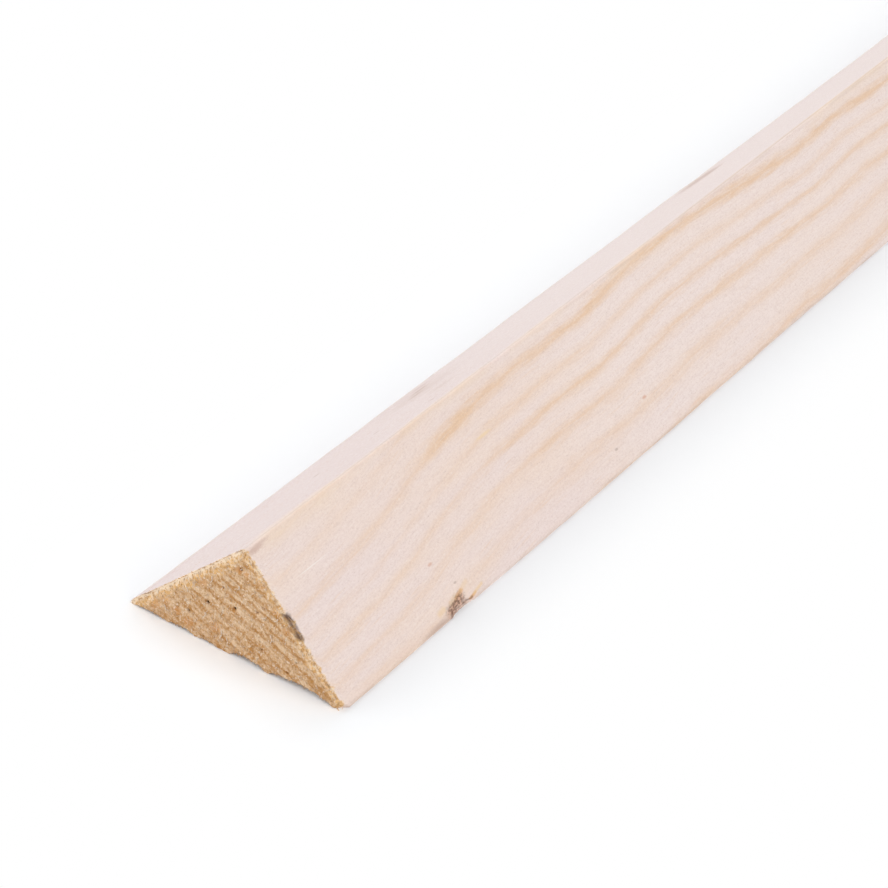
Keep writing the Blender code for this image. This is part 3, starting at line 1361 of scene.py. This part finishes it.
def late_wood(tree, place):
    """How much late wood shows here, from 0 to 1."""
    slow = (place.grain(22.0, 2.6, 1.0) - 0.5) * WAVER
    quick = (place.grain(4.0, 0.6, 2.0) - 0.5) * WAVER
    moved = place.number + (slow + quick) + 0.5
    band = ramp(tree, moved.math("FRACT", moved), LATE_STOPS)
    ring = moved.math("FLOOR", moved)
    start = BAND_START - ring * BAND_STEP
    rise = ease((place.along - start) / BAND_RISE)
    strength = read_off(ring, RING_STRENGTH) * (0.5 + 0.5 * rise)
    uneven = place.grain(16.0, 3.0, 3.0) * 1.1 + 0.45
    hair = peaks(place.fibre(7.0, 0.3, 4.0, 3.0), 2.4, 0.2)
    return held(band * strength * uneven * hair)


print("strongest ring:", max(RING_STRENGTH, key=lambda ring: ring[1])[0])

# %% [markdown]
# ## Planed wood
#
# Freshly planed spruce is a pale, cool cream, a shade paler further along this strip. Fine fibre
# streaks run all along it, with a speckle of cut fibres. The left leg face cuts the rings almost
# square, so its lines are close and faint. Its colour is also painted darker, as painted shade
# that evens out the stronger lamps on the left, and cooler, as a painted sheen. One wood texture
# node can't do this: each part is a layer of its own, with a size taken from the real thing.

# %% Colour the planed faces
EARLY_WOOD = paint(241, 224, 219)
EARLY_WARM = paint(243, 223, 211)
EARLY_FAR = paint(245, 230, 224)
LATE_WOOD = paint(235, 200, 166)
# Left face: its own tone, with painted shade against the stronger left lamps and a painted sheen
QUARTER_NEAR_AND_PAINTED_SHADE = paint(213, 200, 199)
QUARTER_FAR_AND_PAINTED_SHADE = paint(214, 202, 200)
FIBRE_SHADE = paint(206, 180, 170)
FIBRE_LIGHT = paint(253, 244, 238)


def fibre_tint(tree, place, colour, left):
    """Warm hair streaks, and the fine dark and light speckle of cut fibres."""
    hair = place.fibre(6.0, 0.32, 41.0, 2.0)
    patch = peaks(place.grain(14.0, 3.5, 42.0), 3.0, 1.0)
    colour = blend(tree, peaks(hair, 4.0, 2.3) * patch * (0.5 - 0.35 * left), colour, LATE_WOOD)
    streak = place.fibre(2.4, 0.24, 6.0, 3.0, 0.6)
    fuzz = place.grain(0.42, 0.3, 7.0, 2.0, 0.6)
    speck = place.grain(0.2, 0.14, 8.0, 1.0)
    coarse = place.grain(0.5, 0.4, 45.0, 2.0) * left
    patchy = peaks(place.grain(9.0, 4.0, 46.0), 3.0, 0.9) * (1.1 - ease(place.along / 120.0))
    dark = peaks(streak, 2.6, 1.2) * 0.25 + peaks(fuzz, 3.0, 1.5) * 0.3
    dark = dark + peaks(speck, 4.0, 2.3) * 0.5 + peaks(coarse, 5.0, 2.5) * patchy * 0.7
    colour = blend(tree, held(dark), colour, FIBRE_SHADE)
    light = held(0.75 - streak * 1.8) * 0.3 + held(1.35 - fuzz * 3.0) * 0.5
    light = light + held(1.6 - coarse * 4.0) * left * 0.35
    return blend(tree, held(light), colour, FIBRE_LIGHT)


def planed_colour(tree, place, left):
    """The colour of the planed faces before their marks."""
    mottle = ease(place.grain(30.0, 5.0, 5.0) * 2.4 - 0.7)
    far = ease((place.along - 50.0) / 35.0)
    early = blend(tree, mottle, EARLY_WOOD, EARLY_WARM)
    early = blend(tree, far * 0.6, early, EARLY_FAR)
    late = late_wood(tree, place) * (1.0 - 0.12 * far)
    colour = blend(tree, late * (1.0 - 0.8 * left), early, LATE_WOOD)
    # the left face is painted darker as shade and cooler as a painted sheen, over its own tone
    quarter_and_painted_shade = blend(tree, ease((place.along - 20.0) / 90.0), QUARTER_NEAR_AND_PAINTED_SHADE, QUARTER_FAR_AND_PAINTED_SHADE)
    colour = blend(tree, left * 0.9, colour, quarter_and_painted_shade)
    return fibre_tint(tree, place, colour, left)


print("early wood as scene light:", [round(share, 2) for share in EARLY_WOOD[:3]])

# %% [markdown]
# ## Handled edges
#
# The strip has been handled by its edges. The ridge is yellowed in lengths and carries a thin
# grey line of dirt, brown further along, and the thin edges are dirty where they touch the
# floor. Distance from the ridge and from the floor gives the shares, and noise wears them
# away in patches. An edge mask from bevelled normals would treat all edges alike.

# %% Colour the handled edges
RIDGE_OCHRE = paint(242, 216, 180)
RIDGE_DIRT = paint(207, 187, 172)
RIDGE_BROWN = paint(208, 178, 150)
TOE_DIRT = paint(200, 172, 158)
YELLOWED = (
    (11.0, 9.0, 2.0, 0.5),
    (25.0, 7.0, 1.0, 0.35),
    (46.0, 12.0, 1.0, 0.5),
    (70.0, 9.0, 1.0, 0.4),
    (97.0, 8.0, 1.0, 0.4),
    (168.0, 18.0, 1.0, 0.6),
)  # along, half run, reach down both legs and strength of the yellowed lengths of the ridge


def edge_colour(tree, place, colour):
    """The handled edges: a yellowed ridge with a thin grey line, and dirty thin edges."""
    from_ridge = SHARP - place.up
    yellow = 0.0
    for middle, half_run, reach, strength in YELLOWED:
        off = (place.along - middle) / half_run
        yellow = yellow + ease(1.3 - off * off) * ease(1.2 - from_ridge / reach) * strength
    worn_patch = place.grain(5.0, 1.0, 7.0, 3.0) * 1.6 - 0.2
    colour = blend(tree, held(yellow * worn_patch) * 0.75, colour, RIDGE_OCHRE)
    left = ease(place.across / 0.2)
    far = ease((place.along - 96.0) / 22.0)
    brown = ease(1.25 - from_ridge / (0.55 + 0.5 * far)) * left * (0.22 + 0.25 * far)
    colour = blend(tree, brown * held(worn_patch + 0.35), colour, RIDGE_BROWN)
    beside = place.across + (0.28 - 0.2 * far)
    wide = 0.32 + 0.2 * far
    line = ease(1.0 - beside.math("ABSOLUTE", beside) / wide) * ease(1.6 - from_ridge)
    nearly = 0.25 + 0.75 * ease(place.along / 50.0 - 1.3)
    line = line * peaks(place.grain(9.0, 2.0, 8.0), 3.0, 1.1) * nearly
    colour = blend(tree, line * (0.6 - 0.1 * far), colour, RIDGE_DIRT)
    low = ease(1.0 - (place.up - 0.1) / 0.75)
    dirt = peaks(place.grain(9.0, 0.8, 9.0, 3.0), 2.4, 0.75)
    return blend(tree, low * dirt * 0.6, colour, TOE_DIRT)


print(f"{len(YELLOWED)} yellowed lengths of the ridge")

# %% [markdown]
# ## Marks on the planed faces
#
# A few marks give this length of wood its own face: a grey smear next to the ridge, a bright
# scratch, small dots of resin and dirt, and brown smudges and a stain on the left face. Each is
# named and placed one by one. Noise that could throw up a mark anywhere would also throw up marks
# that aren't there.

# %% Colour the marks
SMEAR = paint(208, 176, 160)
SCRATCH = paint(253, 246, 240)
SMUDGE = paint(180, 152, 138)
RESIN = paint(212, 152, 116)
MARKS = (
    ("smear", on_leg(1.4, 0.9, -1), 1.6, 0.35, 1.6, 0.8, SMEAR, 0.75),
    ("smear by the ridge", on_leg(3.0, 0.6, -1), 1.4, 0.2, 1.6, 0.8, SMEAR, 0.5),
    ("scratch", on_leg(8.4, 7.1, -1), 2.9, 0.07, 0.0, 0.6, SCRATCH, 0.6),
    ("dot by the knot", on_leg(29.2, 21.0, -1), 0.3, 0.16, 0.0, 0.5, SMUDGE, 0.5),
    ("red dot above the knot", on_leg(26.9, 16.9, -1), 0.45, 0.2, 0.6, 0.6, RESIN, 0.5),
    ("dot on the lower band", on_leg(71.3, 21.4, -1), 0.4, 0.2, 0.0, 0.5, SMUDGE, 0.5),
    ("red dot", on_leg(82.6, 18.1, -1), 0.5, 0.22, 0.6, 0.6, RESIN, 0.6),
    ("resin at the second band", on_leg(48.8, 7.6, -1), 1.6, 0.22, 0.5, 0.6, RIDGE_OCHRE, 0.8),
    ("dirt on the left", on_leg(61.0, 17.5, 1), 6.5, 3.6, 1.8, 0.9, SMUDGE, 0.22),
    ("smudge", on_leg(59.6, 17.2, 1), 1.6, 0.6, 1.6, 0.7, SMUDGE, 0.45),
    ("second smudge", on_leg(62.3, 19.0, 1), 1.7, 0.7, 1.6, 0.7, SMUDGE, 0.5),
    ("third smudge", on_leg(65.0, 21.2, 1), 1.7, 0.8, 1.6, 0.7, SMUDGE, 0.3),
    ("upper smudge", on_leg(57.0, 9.8, 1), 2.4, 1.2, 1.8, 0.9, SMUDGE, 0.22),
    ("stain across the left face", on_leg(147.6, 20.4, 1), 4.2, 2.1, 1.2, 0.7, SMUDGE, 0.55),
    ("heart of the stain", on_leg(149.4, 19.2, 1), 2.4, 1.1, 0.8, 0.8, SMUDGE, 0.35),
    ("start of the stain", on_leg(143.4, 20.2, 1), 3.0, 1.5, 1.0, 0.9, SMUDGE, 0.3),
    ("left dot", on_leg(30.2, 13.3, 1), 0.6, 0.4, 0.5, 0.6, SMUDGE, 0.5),
    ("second left dot", on_leg(42.5, 11.3, 1), 0.6, 0.4, 0.5, 0.6, SMUDGE, 0.4),
    ("third left dot", on_leg(48.4, 4.6, 1), 0.6, 0.4, 0.5, 0.6, SMUDGE, 0.4),
    ("shade before the knot", on_leg(22.6, 24.4, -1), 3.0, 0.55, 0.6, 0.9, TOE_DIRT, 0.9),
    ("shade by the corner", on_leg(12.0, 23.9, -1), 8.5, 0.9, 0.8, 0.9, LATE_WOOD, 0.28),
)  # name, middle, half run, half thickness, raggedness, softness, colour and strength


def marked_colour(tree, place, colour):
    for _, middle, run, radius, ragged, soft, tint, strength in MARKS:
        colour = blend(tree, spot(place, middle, run, radius, ragged, soft) * strength, colour, tint)
    return colour


print(f"{len(MARKS)} small marks")

# %% [markdown]
# ## The edge knot
#
# The knot on the right thin edge is dark brown, with grey bark in it, and its broken hollow is
# already in the mesh. Golden strokes lie beside it and a dark tail runs on from it. Each is
# drawn with the stroke brush, because they slant with the fibres that bend round a
# knot, and noise along the grain wouldn't.

# %% Colour the knot
KNOT_DARK = paint(118, 80, 60)
KNOT_GREY = paint(206, 166, 142)
KNOT_TAIL = paint(124, 92, 74)
KNOT_ORANGE = paint(222, 168, 112)
KNOT_YELLOW = paint(238, 206, 158)
KNOT_EDGE = ((26.4, 24.7), (28.6, 24.4), 0.7)
KNOT_BODY = ((26.0, 23.8), (28.2, 23.3), 0.8)
KNOT_STROKES = (
    ((26.6, 22.9), (28.0, 22.6), 0.4, KNOT_YELLOW, 0.5),
    ((23.8, 23.0), (24.6, 22.9), 0.4, KNOT_YELLOW, 0.5),
    ((27.9, 22.8), (29.3, 22.4), 0.3, KNOT_ORANGE, 0.75),
    ((29.4, 22.3), (31.0, 21.8), 0.3, KNOT_YELLOW, 0.35),
    ((30.2, 24.15), (31.6, 23.9), 0.2, KNOT_ORANGE, 0.8),
    ((31.4, 23.9), (33.4, 23.5), 0.22, KNOT_YELLOW, 0.6),
    ((28.4, 24.5), (30.6, 24.1), 0.16, KNOT_TAIL, 0.65),
)  # from and to, each as (along, down the leg), half width, colour and strength


def knot_colour(tree, place, colour):
    for start, end, half_width, tint, strength in KNOT_STROKES:
        colour = blend(tree, stroke(place, start, end, half_width) * strength, colour, tint)
    bark = place.grain(0.5, 0.34, 11.0, 2.0)
    speckle = blend(tree, ease(bark * 5.0 - 2.1), KNOT_DARK, KNOT_GREY)
    colour = blend(tree, stroke(place, *KNOT_EDGE) * 0.55, colour, speckle)
    return blend(tree, stroke(place, *KNOT_BODY) * 0.9, colour, speckle)


print(f"{len(KNOT_STROKES)} strokes beside the knot")

# %% [markdown]
# ## The rim of the sawn end
#
# Along both leg faces the sawn end has an ochre rim, where the loose fibres are thin and light
# shines through them. It is widest and palest on the left. Real see-through fibres would take
# long to render and would be lost in an export, so the rim is a colour.

# %% Colour the rim
RIM_OCHRE = paint(232, 182, 112)
RIM_PALE = paint(252, 230, 202)


def rim_colour(tree, place, colour):
    """The ochre rim along both legs, widest and palest on the left."""
    from_leg = (SHARP - place.across.math("ABSOLUTE", place.across) - place.up) / math.sqrt(2.0)
    ragged = (place.grain(2.2, 1.4, 16.0, 3.0) - 0.5) * 3.6
    left = ease(place.across / 0.6)
    wide = ease(1.2 - (from_leg + ragged) / (1.1 + 0.85 * left))
    mixed = ease(place.grain(0.7, 0.5, 17.0, 2.0) * 4.0 - 1.6)
    outer = ease(0.9 - from_leg) * (0.25 + 0.95 * left)
    rim = blend(tree, held(mixed * 0.8 + outer), RIM_OCHRE, RIM_PALE)
    return blend(tree, wide * (0.8 + 0.1 * left), colour, rim)


print("rim as scene light:", [round(share, 2) for share in RIM_OCHRE[:3]])

# %% [markdown]
# ## Torn end grain
#
# End grain soaks up light, so the sawn end is golden brown. Its rings alternate between tan and
# a deeper brown, and torn fibre ends show as pale flecks. The relief of the mesh comes in as the
# attribute `depth`: deeper places are painted browner and pits dark, as painted shade, and fibres
# that stand proud get pale flecks, as a painted highlight. A colour drawn by itself couldn't know
# where these are.

# %% Colour the sawn end
END_PALE = paint(226, 194, 158)
END_BROWN = paint(186, 134, 76)
# pale fibre flecks, also laid on as a painted highlight on proud fibres
END_FLECK_AND_HIGHLIGHT = paint(246, 230, 212)
END_SHADE = paint(156, 110, 64)
END_ORANGE = paint(204, 142, 78)
# dark brown for painted shade in the pits
END_PAINTED_PIT_SHADE = paint(74, 50, 30)
END_STOPS = (
    (0.0, 0.0),
    (0.25, 0.1),
    (0.42, 0.8),
    (0.5, 1.0),
    (0.6, 0.8),
    (0.75, 0.15),
    (1.0, 0.0),
)
ORANGE_SPOTS = (
    (0.6, 14.1, 0.5),
    (-0.7, 13.9, 0.4),
    (-0.5, 17.0, 0.5),
    (-5.8, 10.5, 0.6),
    (-7.5, 8.1, 0.5),
    (-3.2, 13.4, 0.5),
    (13.3, 2.1, 0.8),
    (11.7, 3.6, 0.7),
    (7.7, 1.8, 0.8),
    (9.6, 2.7, 0.6),
    (-14.4, 3.2, 0.6),
    (3.4, 3.2, 0.8),
    (5.9, 9.4, 0.7),
)  # across, up and half size of each torn spot of deeper colour


def end_colour(tree, place, depth):
    wobble = (place.grain(1.4, 1.2, 12.0) - 0.5) * 0.3 + 0.5
    stripe = ramp(tree, (place.number + wobble).math("FRACT", place.number + wobble), END_STOPS)
    patch = peaks(place.grain(3.0, 1.6, 13.0, 2.0), 2.6, 0.7)
    clear = ease((place.up - place.across * 0.5 + 1.0) / 9.0)
    stripe = stripe * (0.45 + 0.55 * patch) * (0.4 + 0.6 * clear)
    tear = place.grain(0.5, 0.46, 14.0, 2.0, 0.55)
    drawn = place.along_ring(0.55, 5.0, 23.0)
    blotch = place.grain(1.5, 1.3, 19.0, 2.0)
    shade = stripe * 1.1 + (tear - 0.5) * 2.4 + (drawn - 0.5) * 1.8 + (blotch - 0.5) * 1.4
    golden = ease(1.6 - place.up / 2.4) * 0.18 + ease(place.across / 6.0 - 0.3) * 0.1
    golden = golden - ease((place.up - 12.5) / 3.0) * 0.2
    # depth paints shade: the deeper the torn relief lies, the browner the end
    colour = blend(tree, held(shade + golden + depth + 0.19), END_PALE, END_BROWN)
    for across, up, size in ORANGE_SPOTS:
        torn = spot(place, (0.3, across, up), 1.5, size, 1.6, 0.5)
        colour = blend(tree, torn * 0.65, colour, END_ORANGE)
    colour = rim_colour(tree, place, colour)
    # pale flecks at random, and a painted highlight where fibres stand proud of the relief
    high = held((0.0 - depth) * 4.0) * 0.3 + peaks(place.grain(0.4, 0.36, 15.0), 7.0, 4.0)
    colour = blend(tree, held(high) * 0.75, colour, END_FLECK_AND_HIGHLIGHT)
    low = peaks(place.grain(0.4, 0.36, 20.0, 2.0), 7.0, 4.1)
    colour = blend(tree, low * 0.65, colour, END_SHADE)
    # painted shade: pits deeper than 0.22 mm turn dark brown
    return blend(tree, ease((depth - 0.22) / 0.22), colour, END_PAINTED_PIT_SHADE)


print(f"{len(ORANGE_SPOTS)} torn spots of deeper colour")

# %% [markdown]
# ## The pitch streak
#
# On the right edge of the end a streak of dark pitch has crumbled away in two lumps. It lies
# half on the end and half on the leg face, so it is painted over both once they are joined.

# %% Colour the pitch streak
PITCH_DARK = paint(104, 78, 68)
STREAK_LUMPS = ((10.7, 12.0, 0.5), (12.8, 13.5, 0.42))  # from and to down the leg, half width


def streak_colour(tree, place, colour):
    """The crumbled pitch streak on the right edge of the sawn end."""
    from_leg = (SHARP + place.across - place.up) / math.sqrt(2.0)
    shallow = ease(1.7 - from_leg / 0.5)
    for top, bottom, half_width in STREAK_LUMPS:
        streak = stroke(place, (0.3, top), (0.31, bottom), half_width, 1.0)
        colour = blend(tree, streak * shallow * 0.88, colour, PITCH_DARK)
    return colour


print(f"{len(STREAK_LUMPS)} lumps of pitch")

# %% [markdown]
# ## The whole finish
#
# Both looks meet in one material, mixed by the attribute `sawn`, which is 1 on the torn end and
# reaches over the arris in ragged teeth. A second material would need a seam there. Fibre
# streaks and tears also feed a Bump node, for the relief that is finer than the mesh.

# %% Put the finish together
FIBRE_RELIEF = 0.016  # millimetres, as the next one
TEAR_RELIEF = 0.035
PLANED_ROUGHNESS = 0.62
SAWN_ROUGHNESS = 0.88
SHINE = 0.28


def attribute(tree, name):
    settings = {"attribute_type": "GEOMETRY", "attribute_name": name}
    return tree.add("ShaderNodeAttribute", settings)["Fac"]


def finish_shader(tree, colour, roughness, height):
    """A Principled surface whose height is in millimetres."""
    bump = tree.add(
        "ShaderNodeBump", sockets={"Strength": 1.0, "Distance": MM, "Height": height}
    )["Normal"]
    surface = tree.add(
        "ShaderNodeBsdfPrincipled",
        sockets={
            "Base Color": colour,
            "Roughness": roughness,
            "Specular IOR Level": SHINE,
            "Normal": bump,
        },
    )
    tree.add("ShaderNodeOutputMaterial", sockets={"Surface": surface["BSDF"]})


def softwood():
    material = bpy.data.materials.new("planed_and_sawn_softwood")
    tree = Tree(material)
    place = Place(tree)
    left = ease(place.across / 0.3 + 0.4) * ease((place.up - 0.15) / 0.3)
    colour = planed_colour(tree, place, left)
    colour = edge_colour(tree, place, colour)
    colour = marked_colour(tree, place, colour)
    colour = knot_colour(tree, place, colour)
    sawn = attribute(tree, "sawn")
    end = end_colour(tree, place, attribute(tree, "depth"))
    colour = streak_colour(tree, place, blend(tree, sawn, colour, end))
    fibre = place.fibre(2.4, 0.2, 21.0, 3.0, 0.6) * FIBRE_RELIEF
    tears = place.grain(0.32, 0.2, 22.0, 3.0, 0.6) * TEAR_RELIEF
    height = fibre * (1.0 - sawn) + tears * sawn
    roughness = PLANED_ROUGHNESS + sawn * (SAWN_ROUGHNESS - PLANED_ROUGHNESS)
    finish_shader(tree, colour, roughness, height)
    return material


WOOD.data.materials.append(softwood())
print("softwood finish:", len(WOOD.data.materials[0].node_tree.nodes), "nodes")

# %% [markdown]
# ## Finish of the splinters
#
# A splinter has one tone from root to tip, from golden to nearly white, under a little brown
# grain. The tone was drawn when the splinter was made and sits on its points, so no two
# neighbours need look alike.

# %% Colour the splinters
SPLINTER_GOLD = paint(212, 162, 98)
SPLINTER_TAN = paint(214, 182, 148)
SPLINTER_PALE = paint(244, 228, 210)


def splinter_finish():
    material = bpy.data.materials.new("torn_fibre")
    tree = Tree(material)
    place = Place(tree)
    tone = attribute(tree, "tone")
    colour = blend(tree, ease(tone * 1.6), SPLINTER_GOLD, SPLINTER_TAN)
    colour = blend(tree, ease(tone * 2.6 - 1.5), colour, SPLINTER_PALE)
    grain = place.grain(0.3, 0.12, 31.0)
    colour = blend(tree, held(grain - 0.35) * 0.5, colour, END_BROWN)
    finish_shader(tree, colour, PLANED_ROUGHNESS + 0.2 * grain, grain * FIBRE_RELIEF)
    return material


SPLINTERS.data.materials.append(splinter_finish())
print("splinter finish ready")

# %% [markdown]
# ## Hand over to the frame
#
# Both meshes ride on the strip's only body. The wood stands in for the imported solid, which
# stays behind, hidden. The two boxes are gathered, so that the size of the dressed strip can be
# set against the solid's.

# %% Ride, replace and measure
for piece in (WOOD, SPLINTERS):
    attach(piece, "root")
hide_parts("chamfer_strip")

DRESSED_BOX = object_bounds()
SIZES = {
    "cad": [list(corner) for corner in CAD_BOX],
    "visual": [list(corner) for corner in DRESSED_BOX],
}
print("dressed box:", SIZES["visual"])
